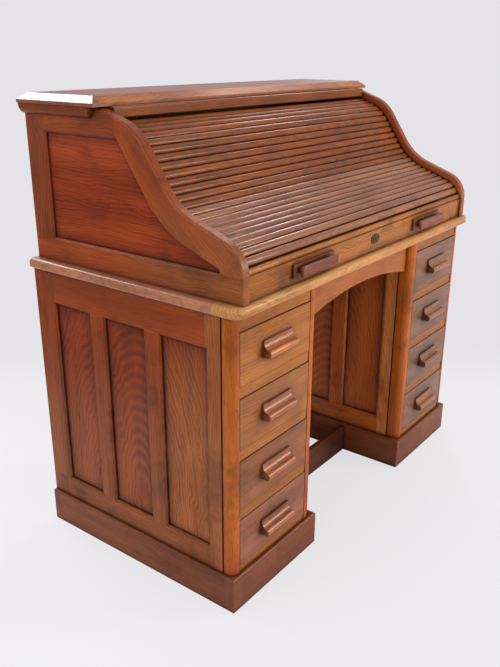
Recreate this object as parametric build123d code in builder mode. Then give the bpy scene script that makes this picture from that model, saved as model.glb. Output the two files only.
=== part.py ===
from build123d import *
import os

os.makedirs("parts", exist_ok=True)

# Roll top desk, millimetres, +Z up, front faces -Y, origin on the floor under the middle.
# A knee-hole desk: two pedestals of four drawers, a moulded desk top, and a roll of
# slats that runs in grooves cut into two S-shaped end frames.

# ---- the desk as a whole ----
desk_w = 1220.0            # over the moulded edge of the desk top
desk_d = 650.0             # faces of the pedestals to the back
desk_h = 780.0             # floor to the writing surface
handle_reach = 35.0        # how far the lift handles stand out past the pedestal faces
joint_gap = 0.1            # glue line between boards
run_gap = 0.3              # what slides stays this far from what carries it

front = (handle_reach - desk_d) / 2
back = front + desk_d

# ---- desk top ----
top_t = 26.0
top_lip = 27.0             # beyond the pedestal faces
top_corner = 28.0
top_round = 12.0
top_under = 9.0

# ---- pedestals ----
pedestal_w = 335.5
pedestal_side = 12.5       # desk top beyond the pedestals' outer faces
plinth_h = 94.0
plinth_t = 26.0
plinth_lip = 9.5           # past the front and the outer side
plinth_lip_in = 16.0       # into the kneehole
plinth_round = 5.0
foot_rail_in = 189.0       # behind the pedestal faces
foot_rail_t = 16.0
foot_rail_h = 90.0
foot_rail_ease = 2.0       # rounding of its upper edges

outer_post_w = 26.0
outer_post_d = 28.0
inner_post_w = 29.5
inner_post_d = 38.0
post_round = 18.0
quirk_w = 4.5              # groove between a post and the frame behind it
quirk_deep = 7.5

side_stile = 43.0
side_muntin = 54.0
side_panel_w = (137.0, 131.0, 128.0)
side_bottom_rail = 59.0
side_top_rail = 86.0
panel_t = 9.0
panel_recess = 9.0         # panel behind the face of its frame
frame_bevel = 5.0          # slope worked on the frames round their panels

drawer_rows = 4
bottom_rail = 16.0
divider = 26.0
top_rail = 38.0
rail_d = 60.0
rail_back = 2.0            # rails behind the drawer fronts
runner_w = 22.0
runner_short = 24.0        # runners stop this far before the back
ped_back_t = 10.0

front_t = 22.0
front_gap = 0.9            # below and beside a drawer front
front_gap_top = 2.0
front_edge = 1.5
box_side_t = 12.0
box_drop = 14.0            # drawer sides lower than the front
box_d = 560.0
box_bottom_t = 6.0
box_bottom_up = 8.0
slide_gap = 1.0            # beside a drawer box

pull_w = 112.0
pull_h = 40.0
pull_out = 25.0
pull_nose = 9.5            # radius of its nose
pull_lip = 5.0
pull_bow = 2.2             # how far its cove bows towards the front
pull_bow_up = 6.0          # above the middle of the pull
pull_ends = 13.0           # left solid at both ends of the finger cove
pull_finger = 11.0         # radius of the finger cove under the pull
pull_up = 2.0              # middle of the pull above the middle of its drawer

# ---- kneehole ----
apron_in = 20.0
apron_t = 20.0
apron_end_h = 97.0
apron_mid_h = 64.0
modesty_t = 18.0
modesty_in = 10.0          # in from the back
modesty_low = 330.0        # floor to its lower edge

# ---- roll housing ----
roll_h = 380.0             # end frames above the writing surface
end_side = 27.0            # desk top beyond the end frames
end_t = 26.0
end_back = 6.0             # end frames in from the back
end_front = -17.3          # end frames' foot, from the pedestal faces
end_member = 65.0          # width of the curved front member
end_bottom_rail = 60.0
end_top_rail = 66.0
end_back_stile = 67.0
end_edge = 5.0             # rounding of the S edge, outside
end_edge_in = 2.5
edge_radii = (79.0, 171.0, 130.0)
# corners of the S edge before rounding: from the pedestal faces, above the writing surface
edge_corners = ((end_front, 0.0), (end_front, 112.6), (168.4, 181.2), (276.4, 340.5),
                (388.6, roll_h))
roll_back_t = 10.0

frieze_in = 361.0
frieze_t = 24.0
frieze_h = 27.0
frieze_slope = 8.5         # underside rises to follow the roll
frieze_round = 4.0
board_over = 3.0           # top board beyond the cornice
board_in = 378.0
board_back = 5.0
board_t = 23.0
board_edge = 8.0           # upright edge under the bevel
board_bevel = 20.0
cornice_h = 24.0
cornice_out = 18.0
cornice_in = 400.0
cornice_foot = 4.0
cornice_lip = 4.0

# ---- the roll ----
slat_count = 23
slat_pitch = 20.4
slat_gap = 0.5
slat_t = 10.0
slat_shoulder = 5.0        # upright flanks below the rounded crown
slat_lean = 0.3            # flanks lean in, so that neighbours clear in a hollow bend
slat_side = 0.4            # between a slat's end and the end frame
pin_d = 4.6
pin_l = 10.0
pin_off = 5.0              # pin's centre above the slats' back
groove_w = 11.6
groove_deep = 12.0
# slats' back behind the S edge: upright, low slope, steep slope, top slope, top run, back run
track_depths = (21.0, 29.0, 29.0, 31.0, 20.0, 32.0)
track_radii = (58.0, 199.0, 102.0, 200.0, 60.0)
track_end = 50.0           # grooves end this far above the writing surface

lift_h = 70.5
lift_front = 12.7          # front of the lift rail before the slats' back
lift_rear = 8.0
lift_bead = 7.5            # radius of the bead along its head
lift_quirk = 2.6           # depth of the groove under the bead
lift_quirk_w = 2.0
bead_turn = 45             # the bead turns in under its nose, degrees
lift_slope = 9.0           # back of the head falls away below the first slat
lift_pins = (14.0, 54.0)   # up the track from the writing surface
handle_x = 305.0
handle_up = 31.0           # middle of a handle above the foot of the lift rail
grip_w, grip_h, grip_t = 152.0, 24.0, 7.0
plate_w, plate_h, plate_t = 172.0, 32.0, 6.3
neck_w, neck_h = 128.0, 13.0
grip_ease = 2.5            # rounding of the grip's face
lock_w, lock_h, lock_t = 64.0, 40.0, 10.0
lock_up = 33.0             # keyhole above the writing surface
scutcheon_w, scutcheon_h, scutcheon_t = 46.0, 27.0, 1.2
boss_w, boss_h, boss_t = 20.0, 19.0, 1.0   # raised middle of the plate
keyhole_d, keyhole_slot, keyhole_l = 5.0, 2.2, 9.0

# ---- pigeonholes inside ----
nest_bays = 6
nest_h = 300.0
nest_d = 260.0
nest_behind = 44.0         # clear of the board that closes the roll's back
nest_t = 9.0
nest_side = 8.0            # beside the end frames
nest_shelf_up = 175.0

# ---- places that follow from the sizes ----
ped_out = desk_w / 2 - pedestal_side
ped_in = ped_out - pedestal_w
ped_top = desk_h - top_t
cell_x = (ped_in + inner_post_w, ped_out - outer_post_w)
drawer_h = (ped_top - plinth_h - bottom_rail - top_rail - (drawer_rows - 1) * divider) / drawer_rows
row_z = [plinth_h + bottom_rail + row * (drawer_h + divider) for row in range(drawer_rows)]
end_out = desk_w / 2 - end_side
end_in = end_out - end_t
end_rear = desk_d - end_back
roll_top = desk_h + roll_h
board_w = 2 * (end_out + cornice_out + board_over)


def board(x, y, z):
    """A board between two x, two y and two z values."""
    with Locations(((x[0] + x[1]) / 2, (y[0] + y[1]) / 2, (z[0] + z[1]) / 2)):
        return Box(abs(x[1] - x[0]), abs(y[1] - y[0]), abs(z[1] - z[0]))


def save(made, name):
    made.part.label = name
    export_step(made.part, f"parts/{name}.step")


def save_pair(made, name):
    """Writes the piece of the right side and its mirror image of the left."""
    save(made, f"right_{name}")
    with BuildPart() as other:
        mirror(made.part, about=Plane.YZ)
    save(other, f"left_{name}")


# ================= plinths =================
with BuildPart() as plinth:
    plinth_x = (ped_in - plinth_lip_in, ped_out + plinth_lip)
    plinth_y = (front - plinth_lip, back)
    board(plinth_x, (plinth_y[0], plinth_y[0] + plinth_t), (0, plinth_h))
    side_y = (plinth_y[0] + plinth_t + joint_gap, back - plinth_t - joint_gap)
    board((plinth_x[1] - plinth_t, plinth_x[1]), side_y, (0, plinth_h))
    board((plinth_x[0], plinth_x[0] + plinth_t), side_y, (0, plinth_h))
    board(plinth_x, (back - plinth_t, back), (0, plinth_h))
    rims = plinth.edges().filter_by(lambda e: abs(e.center().Z - plinth_h) < 0.01)
    outer = rims.filter_by(
        lambda e: abs(e.center().Y - plinth_y[0]) < 0.01
        or abs(e.center().X - plinth_x[0]) < 0.01
        or abs(e.center().X - plinth_x[1]) < 0.01
    )
    fillet(outer, plinth_round)
save_pair(plinth, "plinth")

with BuildPart() as foot_rail:
    rail_reach = ped_in - plinth_lip_in - joint_gap
    board((-rail_reach, rail_reach), (front + foot_rail_in, front + foot_rail_in + foot_rail_t),
          (0, foot_rail_h))
    fillet(foot_rail.edges().filter_by(Axis.X).group_by(Axis.Z)[-1], foot_rail_ease)
save(foot_rail, "foot_rail")

# ================= front posts =================
with BuildPart() as front_posts:
    with BuildSketch(Plane.XY.offset(plinth_h)):
        with BuildLine():
            Polyline((ped_out - outer_post_w, front), (ped_out, front),
                     (ped_out, front + outer_post_d),
                     (ped_out - quirk_deep, front + outer_post_d),
                     (ped_out - quirk_deep, front + outer_post_d + quirk_w),
                     (ped_out - outer_post_w, front + outer_post_d + quirk_w), close=True)
        make_face()
        with BuildLine():
            Polyline((ped_in + inner_post_w, front), (ped_in, front),
                     (ped_in, front + inner_post_d),
                     (ped_in + quirk_deep, front + inner_post_d),
                     (ped_in + quirk_deep, front + inner_post_d + quirk_w),
                     (ped_in + inner_post_w, front + inner_post_d + quirk_w), close=True)
        make_face()
    extrude(amount=ped_top - plinth_h)
    corners = front_posts.edges().filter_by(Axis.Z).filter_by(
        lambda e: abs(e.center().Y - front) < 0.01
        and min(abs(e.center().X - ped_out), abs(e.center().X - ped_in)) < 0.01)
    fillet(corners, post_round)
save_pair(front_posts, "front_posts")

# ================= side frames and panels =================
# Panels from front to back; the back stile takes what is left of the depth.
muntin_y = []
panel_y = []
reach = front + outer_post_d + quirk_w + side_stile
for width in side_panel_w:
    panel_y.append((reach, reach + width))
    muntin_y.append((reach + width, reach + width + side_muntin))
    reach += width + side_muntin
muntin_y.pop()
back_stile_y = (panel_y[-1][1], back)
panel_z = (plinth_h + side_bottom_rail, ped_top - side_top_rail)


def side_frame(x_in, x_out, y_start):
    """One framed side: x_out is the show face and x_in the face towards the drawers."""
    first = panel_y[0][0]
    if y_start + side_stile > first:
        first = y_start + side_stile
    rail_y = (first + joint_gap, back_stile_y[0] - joint_gap)
    board((x_in, x_out), (y_start, first), (plinth_h, ped_top))
    board((x_in, x_out), back_stile_y, (plinth_h, ped_top))
    board((x_in, x_out), rail_y, (plinth_h, panel_z[0]))
    board((x_in, x_out), rail_y, (panel_z[1], ped_top))
    for span in muntin_y:
        board((x_in, x_out), span, (panel_z[0] + joint_gap, panel_z[1] - joint_gap))
    # the bevel round each panel, mitred at its corners
    inward = 1 if x_in > x_out else -1
    openings = [(first, panel_y[0][1])] + panel_y[1:]
    for span in openings:
        middle = ((span[0] + span[1]) / 2, sum(panel_z) / 2)
        size = (span[1] - span[0], panel_z[1] - panel_z[0])
        with BuildSketch(Plane.YZ.offset(x_out)) as mouth:
            with Locations(middle):
                Rectangle(size[0] + 2 * frame_bevel, size[1] + 2 * frame_bevel)
        with BuildSketch(Plane.YZ.offset(x_out + inward * frame_bevel)) as throat:
            with Locations(middle):
                Rectangle(*size)
        loft(sections=[mouth.sketch, throat.sketch], ruled=True, mode=Mode.SUBTRACT)
    return first


with BuildPart() as side_frames:
    outer_first = side_frame(ped_out - outer_post_w, ped_out, front + outer_post_d + quirk_w)
    inner_first = side_frame(ped_in + inner_post_w, ped_in, front + inner_post_d + quirk_w)
save_pair(side_frames, "side_frames")

with BuildPart() as side_panels:
    for x_show, inward, first in ((ped_out, -1, outer_first), (ped_in, 1, inner_first)):
        face = x_show + inward * panel_recess
        for number, span in enumerate(panel_y):
            start = first if number == 0 else span[0]
            board((face, face + inward * panel_t), (start + joint_gap, span[1] - joint_gap),
                  (panel_z[0] + joint_gap, panel_z[1] - joint_gap))
save_pair(side_panels, "side_panels")

# ================= rails, runners and back of a pedestal =================
with BuildPart() as drawer_frame:
    levels = [(plinth_h, row_z[0])]
    levels += [(z - divider, z) for z in row_z[1:]]
    levels += [(ped_top - top_rail, ped_top)]
    rail_x = (cell_x[0] + joint_gap, cell_x[1] - joint_gap)
    runner_y = (front + rail_d + joint_gap, back - ped_back_t - runner_short)
    for level in levels:
        board(rail_x, (front + rail_back, front + rail_d), level)
        board((rail_x[0], rail_x[0] + runner_w), runner_y, level)
        board((rail_x[1] - runner_w, rail_x[1]), runner_y, level)
save_pair(drawer_frame, "drawer_frame")

with BuildPart() as pedestal_back:
    board((cell_x[0] + joint_gap, cell_x[1] - joint_gap), (back - ped_back_t, back),
          (plinth_h, ped_top))
save_pair(pedestal_back, "pedestal_back")


# ================= drawers =================
def drawer(x_span, z_low):
    """A drawer of six pieces: front, two sides, back, bottom and the carved pull."""
    middle = sum(x_span) / 2
    front_x = (x_span[0] + front_gap, x_span[1] - front_gap)
    front_z = (z_low + front_gap, z_low + drawer_h - front_gap_top)
    side_z = (z_low + run_gap, z_low + drawer_h - box_drop)
    box_x = (x_span[0] + slide_gap, x_span[1] - slide_gap)
    box_y = (front + front_t + joint_gap, front + box_d)
    inner_x = (box_x[0] + box_side_t + joint_gap, box_x[1] - box_side_t - joint_gap)
    with BuildPart() as made:
        with BuildSketch(Plane.XZ.offset(-front)):
            with Locations((middle, sum(front_z) / 2)):
                Rectangle(front_x[1] - front_x[0], front_z[1] - front_z[0])
        extrude(amount=-front_t)
        chamfer(made.faces().sort_by(Axis.Y)[0].edges(), front_edge)
        board((box_x[0], box_x[0] + box_side_t), box_y, side_z)
        board((box_x[1] - box_side_t, box_x[1]), box_y, side_z)
        board(inner_x, (box_y[1] - box_side_t, box_y[1]), (side_z[0], side_z[1]))
        board(inner_x, (box_y[0], box_y[1] - box_side_t - joint_gap),
              (side_z[0] + box_bottom_up, side_z[0] + box_bottom_up + box_bottom_t))
        # the pull: a thin upper lip, a cove and a full round nose
        grip = Plane(origin=(middle - pull_w / 2, front - joint_gap, z_low + drawer_h / 2 + pull_up),
                     x_dir=(0, -1, 0), z_dir=(-1, 0, 0))
        top = pull_h / 2
        nose = (pull_out - pull_nose, pull_nose - top)
        with BuildSketch(grip) as pull_section:
            with BuildLine():
                Line((0, top), (pull_lip, top))
                ThreePointArc((pull_lip, top), (pull_lip + pull_bow, pull_bow_up),
                              (nose[0], nose[1] + pull_nose))
                ThreePointArc((nose[0], nose[1] + pull_nose), (pull_out, nose[1]),
                              (nose[0], -top))
                Polyline((nose[0], -top), (0, -top), (0, top))
            make_face()
        with BuildPart(mode=Mode.PRIVATE) as pull:
            extrude(pull_section.sketch, amount=-pull_w)
            # the finger cove is worked from below and stops short of both ends
            with BuildSketch(grip.offset(-pull_ends)) as finger:
                with Locations((0, -top)):
                    Circle(pull_finger)
            extrude(finger.sketch, amount=2 * pull_ends - pull_w, mode=Mode.SUBTRACT)
        add(pull.part)
    return made


for row, z_low in enumerate(row_z):
    from_top = drawer_rows - row
    save(drawer(cell_x, z_low), f"right_drawer_{from_top}")
    save(drawer((-cell_x[1], -cell_x[0]), z_low), f"left_drawer_{from_top}")

# ================= kneehole =================
with BuildPart() as kneehole_apron:
    apron_half = ped_in - joint_gap
    with BuildSketch(Plane.XZ.offset(-(front + apron_in))):
        with BuildLine():
            Polyline((apron_half, ped_top - apron_end_h), (apron_half, ped_top),
                     (-apron_half, ped_top), (-apron_half, ped_top - apron_end_h))
            ThreePointArc((-apron_half, ped_top - apron_end_h), (0, ped_top - apron_mid_h),
                          (apron_half, ped_top - apron_end_h))
        make_face()
    extrude(amount=-apron_t)
save(kneehole_apron, "kneehole_apron")

with BuildPart() as modesty_panel:
    board((-ped_in + joint_gap, ped_in - joint_gap),
          (back - modesty_in - modesty_t, back - modesty_in), (modesty_low, ped_top))
save(modesty_panel, "modesty_panel")

# ================= desk top =================
with BuildPart() as desk_top:
    with BuildSketch(Plane.XY.offset(ped_top)):
        with Locations((0, (front - top_lip + back) / 2)):
            slab = Rectangle(desk_w, desk_d + top_lip)
        fillet(slab.vertices().group_by(Axis.Y)[0], top_corner)
    extrude(amount=top_t)
    sides = desk_top.faces().filter_by(lambda f: abs(f.normal_at().Z) < 0.5
                                       and f.center().Y < back - 0.01)
    moulded = sides.edges().filter_by(lambda e: abs((e % 0.5).Z) < 0.5)
    fillet(moulded.group_by(Axis.Z)[-1], top_round)
    lower = desk_top.edges().filter_by(lambda e: abs(e.center().Z - ped_top) < 0.01
                                       and e.center().Y < back - 0.01)
    fillet(lower, top_under)
save(desk_top, "desk_top")


# ================= lines of the roll housing =================
# Every line is drawn looking along the desk, y from front to back and z above the floor.
def at(corner):
    return (front + corner[0], desk_h + corner[1])


outline = [at(c) for c in edge_corners] + [(front + end_rear, roll_top),
                                           (front + end_rear, desk_h)]


def run_inside(number, depth):
    """The outline's run of that number, moved inwards: a point and a direction."""
    start = Vector(*outline[number])
    along = (Vector(*outline[number + 1]) - start).normalized()
    return start + Vector(along.Y, -along.X) * depth, along


def meet(one, two):
    (p, u), (q, w) = one, two
    return p + u * ((q - p).cross(w).Z / u.cross(w).Z)


def roll_line(outward):
    """Corners and radii of a line that follows the slats' back, moved outwards."""
    runs = [run_inside(number, depth - outward) for number, depth in enumerate(track_depths)]
    corners = [runs[0][0]] + [meet(a, b) for a, b in zip(runs, runs[1:])]
    corners = [(c.X, c.Y) for c in corners] + [(runs[-1][0].X, desk_h + track_end)]
    turns = (1, -1, 1, 1, 1)
    radii = [radius + turn * outward for radius, turn in zip(track_radii, turns)]
    return corners, radii


track_corners, track_bends = roll_line(0)
with BuildLine(Plane.YZ) as track_line:
    FilletPolyline(*track_corners, radius=track_bends)
track = track_line.wire()

with BuildSketch() as groove:
    outer_wall, outer_bends = roll_line(pin_off + groove_w / 2)
    inner_wall, inner_bends = roll_line(pin_off - groove_w / 2)
    with BuildLine():
        FilletPolyline(*outer_wall, radius=outer_bends)
        FilletPolyline(*inner_wall, radius=inner_bends)
        Line(outer_wall[0], inner_wall[0])
        Line(outer_wall[-1], inner_wall[-1])
    make_face()

with BuildSketch() as end_outline:
    with BuildLine():
        FilletPolyline(*outline[:5], radius=edge_radii)
        Polyline(*outline[4:], outline[0])
    make_face()

# the opening for the panel: upright tip, then the S line of the front member's inner edge
rail_line = desk_h + end_bottom_rail
stile_line = front + end_rear - end_back_stile
top_line = roll_top - end_top_rail
inner_runs = [run_inside(number, end_member) for number in range(3)]
tip = Vector(inner_runs[0][0].X, rail_line)
bend_low = meet(inner_runs[0], inner_runs[1])
bend_mid = meet(inner_runs[1], inner_runs[2])
bend_top = meet(inner_runs[2], (Vector(0, top_line), Vector(1, 0)))
with BuildSketch() as opening:
    with BuildLine():
        Line(tip, bend_low)
        FilletPolyline(bend_low, bend_mid, bend_top, radius=[edge_radii[1] + end_member])
        Polyline(bend_top, (stile_line, top_line), (stile_line, rail_line), tip)
    make_face()


# ================= end frames =================
def end_piece(y_span, z_span):
    """The part of the end's outline, less the opening, that lies in these spans."""
    with BuildSketch(Plane.YZ.offset(end_in)) as piece:
        add(end_outline.sketch)
        with Locations(((y_span[0] + y_span[1]) / 2, (z_span[0] + z_span[1]) / 2)):
            Rectangle(y_span[1] - y_span[0], z_span[1] - z_span[0], mode=Mode.INTERSECT)
        add(opening.sketch, mode=Mode.SUBTRACT)
    extrude(piece.sketch, amount=end_t)


with BuildLine(Plane.YZ) as s_line:
    FilletPolyline(*outline[:5], radius=edge_radii)

with BuildPart() as end_frame:
    far = 2 * desk_d
    curve_end = bend_top.X
    end_piece((front - far, front + far), (desk_h, rail_line - joint_gap))
    end_piece((front - far, curve_end - joint_gap), (rail_line, roll_top))
    end_piece((curve_end, stile_line - joint_gap), (top_line, roll_top))
    end_piece((stile_line, front + end_rear), (rail_line, roll_top))
    with BuildSketch(Plane.YZ.offset(end_in)):
        add(groove.sketch)
    extrude(amount=groove_deep, mode=Mode.SUBTRACT)
    # the bevel round the panel
    with BuildSketch(Plane.YZ.offset(end_out)):
        add(opening.sketch)
        offset(amount=frame_bevel, kind=Kind.INTERSECTION, mode=Mode.REPLACE)
    extrude(amount=-frame_bevel, taper=45, mode=Mode.SUBTRACT)
    # the S edge is rounded over outside and eased inside, beside the slats
    s_corners = end_frame.edges().filter_by(Axis.X, reverse=True).filter_by(
        lambda e: s_line.line.distance_to(Vertex(0, (e @ 0.5).Y, (e @ 0.5).Z)) < 0.01
        and (e @ 0.5).Z < roll_top - 0.01)
    inner_s, outer_s = s_corners.group_by(Axis.X)
    chamfer(inner_s, end_edge_in)
    fillet(outer_s, end_edge)
save_pair(end_frame, "end_frame")

with BuildPart() as end_panel:
    with BuildSketch(Plane.YZ.offset(end_out - panel_recess - panel_t)):
        add(opening.sketch)
        offset(amount=-joint_gap, kind=Kind.INTERSECTION, mode=Mode.REPLACE)
    extrude(amount=panel_t)
save_pair(end_panel, "end_panel")

# ================= back, frieze, top board and cornice =================
with BuildPart() as roll_back:
    board((-end_in + joint_gap, end_in - joint_gap),
          (front + end_rear - roll_back_t, front + end_rear), (desk_h, roll_top))
save(roll_back, "roll_back")

with BuildPart() as frieze_rail:
    with BuildSketch(Plane.YZ.offset(-end_in + joint_gap)):
        with BuildLine():
            low = roll_top - frieze_h
            near = front + frieze_in
            Polyline((near, low), (near, roll_top), (near + frieze_t, roll_top),
                     (near + frieze_t, low + frieze_slope), close=True)
        make_face()
    extrude(amount=2 * (end_in - joint_gap))
    fillet(frieze_rail.edges().filter_by(Axis.X).group_by(Axis.Y)[0], frieze_round)
save(frieze_rail, "frieze_rail")

with BuildPart() as top_board:
    board_y = (front + board_in, back - board_back)
    board_mid = sum(board_y) / 2
    board_depth = board_y[1] - board_y[0]
    with BuildSketch(Plane.XY.offset(roll_top)):
        with Locations((0, board_mid)):
            Rectangle(board_w, board_depth)
    extrude(amount=board_edge)
    with BuildSketch(Plane.XY.offset(roll_top + board_edge)):
        with Locations((0, board_mid)):
            Rectangle(board_w, board_depth)
    with BuildSketch(Plane.XY.offset(roll_top + board_t)):
        with Locations((0, board_mid)):
            Rectangle(board_w - 2 * board_bevel, board_depth - 2 * board_bevel)
    loft(ruled=True)
save(top_board, "top_board")

with BuildPart() as top_cornice:
    cornice_z = (roll_top - cornice_h, roll_top)

    def cove():
        """Cove section: standing out to the right of the origin, top edge at zero."""
        with BuildLine() as section:
            Polyline((cornice_foot, -cornice_h), (0, -cornice_h), (0, 0), (cornice_out, 0),
                     (cornice_out, -cornice_lip))
            RadiusArc((cornice_out, -cornice_lip), (cornice_foot, -cornice_h), cornice_h)
        make_face(section.edges())

    side_plane = Plane(origin=(end_out, back - end_back, roll_top), x_dir=(1, 0, 0), z_dir=(0, -1, 0))
    with BuildSketch(side_plane):
        cove()
    extrude(amount=end_rear - cornice_in)
    # the front end carries the same section, so the moulding turns the corner
    front_plane = Plane(origin=(end_out, front + cornice_in + cornice_out, roll_top),
                        x_dir=(0, -1, 0), z_dir=(-1, 0, 0))
    with BuildSketch(front_plane):
        cove()
        with Locations((-desk_d / 2, -cornice_h / 2)):
            Rectangle(desk_d, cornice_h)
    extrude(amount=cornice_out, both=True, mode=Mode.INTERSECT)
    mirror(about=Plane.YZ)
save(top_cornice, "top_cornice")

# ================= the roll =================
slat_half = end_in - slat_side
slat_w = slat_pitch - slat_gap
first_slat = run_gap + lift_h + slat_gap + slat_w / 2


def on_track(length):
    """Plane square to the desk's width, at that length along the track, x along the track."""
    here = track.position_at(length, position_mode=PositionMode.LENGTH)
    aim = track.tangent_at(length, position_mode=PositionMode.LENGTH)
    return Plane(origin=here, x_dir=aim, z_dir=(1, 0, 0))


def pins(plane, spots):
    """Eight-sided tenons on both ends, at points of the section."""
    for spot in spots:
        with BuildSketch(plane) as tenon:
            with Locations(spot):
                RegularPolygon(pin_d / 2, 8)
        extrude(tenon.sketch, amount=slat_half + pin_l, both=True)


slat_planes = [on_track(first_slat + number * slat_pitch) for number in range(slat_count)]
for number, plane in enumerate(slat_planes):
    with BuildPart() as slat:
        with BuildSketch(plane):
            with BuildLine():
                flank = slat_w / 2 - slat_lean
                Polyline((-flank, slat_shoulder), (-slat_w / 2, 0), (slat_w / 2, 0),
                         (flank, slat_shoulder))
                ThreePointArc((flank, slat_shoulder), (0, slat_t), (-flank, slat_shoulder))
            make_face()
        extrude(amount=slat_half, both=True)
        pins(plane, [(0, pin_off)])
    save(slat, f"slat_{number + 1:02d}")

# the lift rail: its section stands upright, y from the slats' back and z from the desk top
back_line = track_corners[0][0]
with BuildPart() as lift_rail:
    face_y = back_line - lift_front
    rear_y = back_line + lift_rear
    foot_z = desk_h + run_gap
    head_z = foot_z + lift_h
    bead_z = head_z - lift_bead
    bead_y = face_y + lift_bead
    with BuildSketch(Plane.YZ):
        with BuildLine():
            bead_start = Vector(bead_y, bead_z) + Vector(-lift_bead, 0).rotate(Axis.Z, bead_turn)
            Polyline((bead_y, head_z), (back_line, head_z), (rear_y, head_z - lift_slope),
                     (rear_y, foot_z), (face_y, foot_z), (face_y, bead_start.Y - lift_quirk_w),
                     (face_y + lift_quirk, bead_start.Y - lift_quirk_w / 2), bead_start)
            ThreePointArc(bead_start, (face_y, bead_z), (bead_y, head_z))
        make_face()
    extrude(amount=slat_half, both=True)
    low_pin = on_track(lift_pins[0])
    high_pin = on_track(lift_pins[1])
    lift_plane = Plane(origin=low_pin.origin, x_dir=high_pin.origin - low_pin.origin,
                       z_dir=(1, 0, 0))
    pins(lift_plane, [(0, pin_off), ((high_pin.origin - low_pin.origin).length, pin_off)])
save(lift_rail, "lift_rail")

with BuildPart() as lift_handles:
    middle_z = foot_z + handle_up
    grip_y = front - handle_reach
    with Locations((-handle_x, 0), (handle_x, 0)):
        for face, width, height, thick in (
                (face_y - plate_t, plate_w, plate_h, plate_t),
                (grip_y + grip_t, neck_w, neck_h, face_y - plate_t - grip_y - grip_t),
                (grip_y, grip_w, grip_h, grip_t)):
            with Locations((0, face + thick / 2, middle_z)):
                Box(width, thick, height)
    fillet(lift_handles.faces().filter_by(Axis.Y).group_by(Axis.Y)[0].edges(), grip_ease)
save(lift_handles, "lift_handles")

with BuildPart() as roll_lock:
    lock_z = desk_h + lock_up
    board((-lock_w / 2, lock_w / 2), (rear_y, rear_y + lock_t), (lock_z - lock_h / 2, lock_z + lock_h / 2))
    # an oval plate with a raised middle, on the face of the lift rail
    for face, width, height, thick in ((face_y, scutcheon_w, scutcheon_h, scutcheon_t),
                                       (face_y - scutcheon_t, boss_w, boss_h, boss_t)):
        with BuildSketch(Plane.XZ.offset(-face)) as plate:
            with Locations((0, lock_z)):
                Ellipse(width / 2, height / 2)
            with Locations((0, lock_z + keyhole_l / 4)):
                Circle(keyhole_d / 2, mode=Mode.SUBTRACT)
            with Locations((0, lock_z - keyhole_l / 4)):
                Rectangle(keyhole_slot, keyhole_l, mode=Mode.SUBTRACT)
        extrude(plate.sketch, amount=thick)
save(roll_lock, "roll_lock")

# ================= pigeonholes =================
with BuildPart() as pigeonholes:
    nest_half = end_in - nest_side
    nest_end = front + end_rear - roll_back_t - nest_behind
    nest_y = (nest_end - nest_d, nest_end)
    shelf_y = (nest_y[0], nest_y[1] - nest_t - joint_gap)
    bay = (2 * nest_half - nest_t) / nest_bays
    board((-nest_half, nest_half), shelf_y, (desk_h, desk_h + nest_t))
    board((-nest_half, nest_half), shelf_y, (desk_h + nest_h - nest_t, desk_h + nest_h))
    board((-nest_half, nest_half), (nest_y[1] - nest_t, nest_y[1]), (desk_h, desk_h + nest_h))
    upright_z = (desk_h + nest_t + joint_gap, desk_h + nest_h - nest_t - joint_gap)
    for number in range(nest_bays + 1):
        left = -nest_half + number * bay
        board((left, left + nest_t), shelf_y, upright_z)
        if number < nest_bays:
            shelf_z = desk_h + nest_shelf_up
            board((left + nest_t + joint_gap, left + bay - joint_gap), shelf_y,
                  (shelf_z, shelf_z + nest_t))
save(pigeonholes, "pigeonholes")
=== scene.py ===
import bpy
import math
import numpy as np
from mathutils import Matrix, Vector


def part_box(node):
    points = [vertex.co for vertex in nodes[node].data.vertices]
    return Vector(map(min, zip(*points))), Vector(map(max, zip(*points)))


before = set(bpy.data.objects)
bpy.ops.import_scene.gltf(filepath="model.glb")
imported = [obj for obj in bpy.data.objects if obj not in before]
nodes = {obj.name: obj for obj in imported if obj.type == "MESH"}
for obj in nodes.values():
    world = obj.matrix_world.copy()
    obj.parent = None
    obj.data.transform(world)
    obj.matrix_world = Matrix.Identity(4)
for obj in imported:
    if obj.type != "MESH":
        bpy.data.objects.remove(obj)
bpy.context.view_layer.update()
print("frame loaded:", len(nodes), "nodes")

mm = 0.001
far = 9.0           # metres, past the desk on any side
quarterTurn = 90    # degrees


def colourOf(hexText):
    # screen colour to the linear value that Blender's sockets take
    parts = [int(hexText[i:i + 2], 16) / 255 for i in (0, 2, 4)]
    return [c / 12.92 if c <= 0.04045 else ((c + 0.055) / 1.055) ** 2.4 for c in parts] + [1.0]


# small helpers for node trees
def feed(tree, socket, value):
    if isinstance(value, bpy.types.NodeSocket):
        tree.links.new(value, socket)
    elif value is not None:
        socket.default_value = value


def addNode(tree, kind, settings=None, **inputs):
    node = tree.nodes.new(kind)
    for name, value in (settings or {}).items():
        setattr(node, name, value)
    for name, value in inputs.items():
        feed(tree, node.inputs[name], value)
    return node


def calc(tree, operation, a, b=None, c=None, clamp=False):
    node = addNode(tree, "ShaderNodeMath", {"operation": operation, "use_clamp": clamp})
    for socket, value in zip(node.inputs, (a, b, c)):
        feed(tree, socket, value)
    return node.outputs[0]


def ramp(tree, value, low, high, toLow=0.0, toHigh=1.0):
    # soft step from toLow to toHigh; low may be the larger limit
    node = addNode(tree, "ShaderNodeMapRange", {"interpolation_type": "SMOOTHSTEP"})
    for name, v in (("Value", value), ("From Min", low), ("From Max", high),
                    ("To Min", toLow), ("To Max", toHigh)):
        feed(tree, node.inputs[name], v)
    return node.outputs["Result"]


def blendColour(tree, factor, a, b):
    node = addNode(tree, "ShaderNodeMix", {"data_type": "RGBA"})
    for number, value in ((0, factor), (6, a), (7, b)):
        feed(tree, node.inputs[number], value)
    return node.outputs[2]


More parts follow.
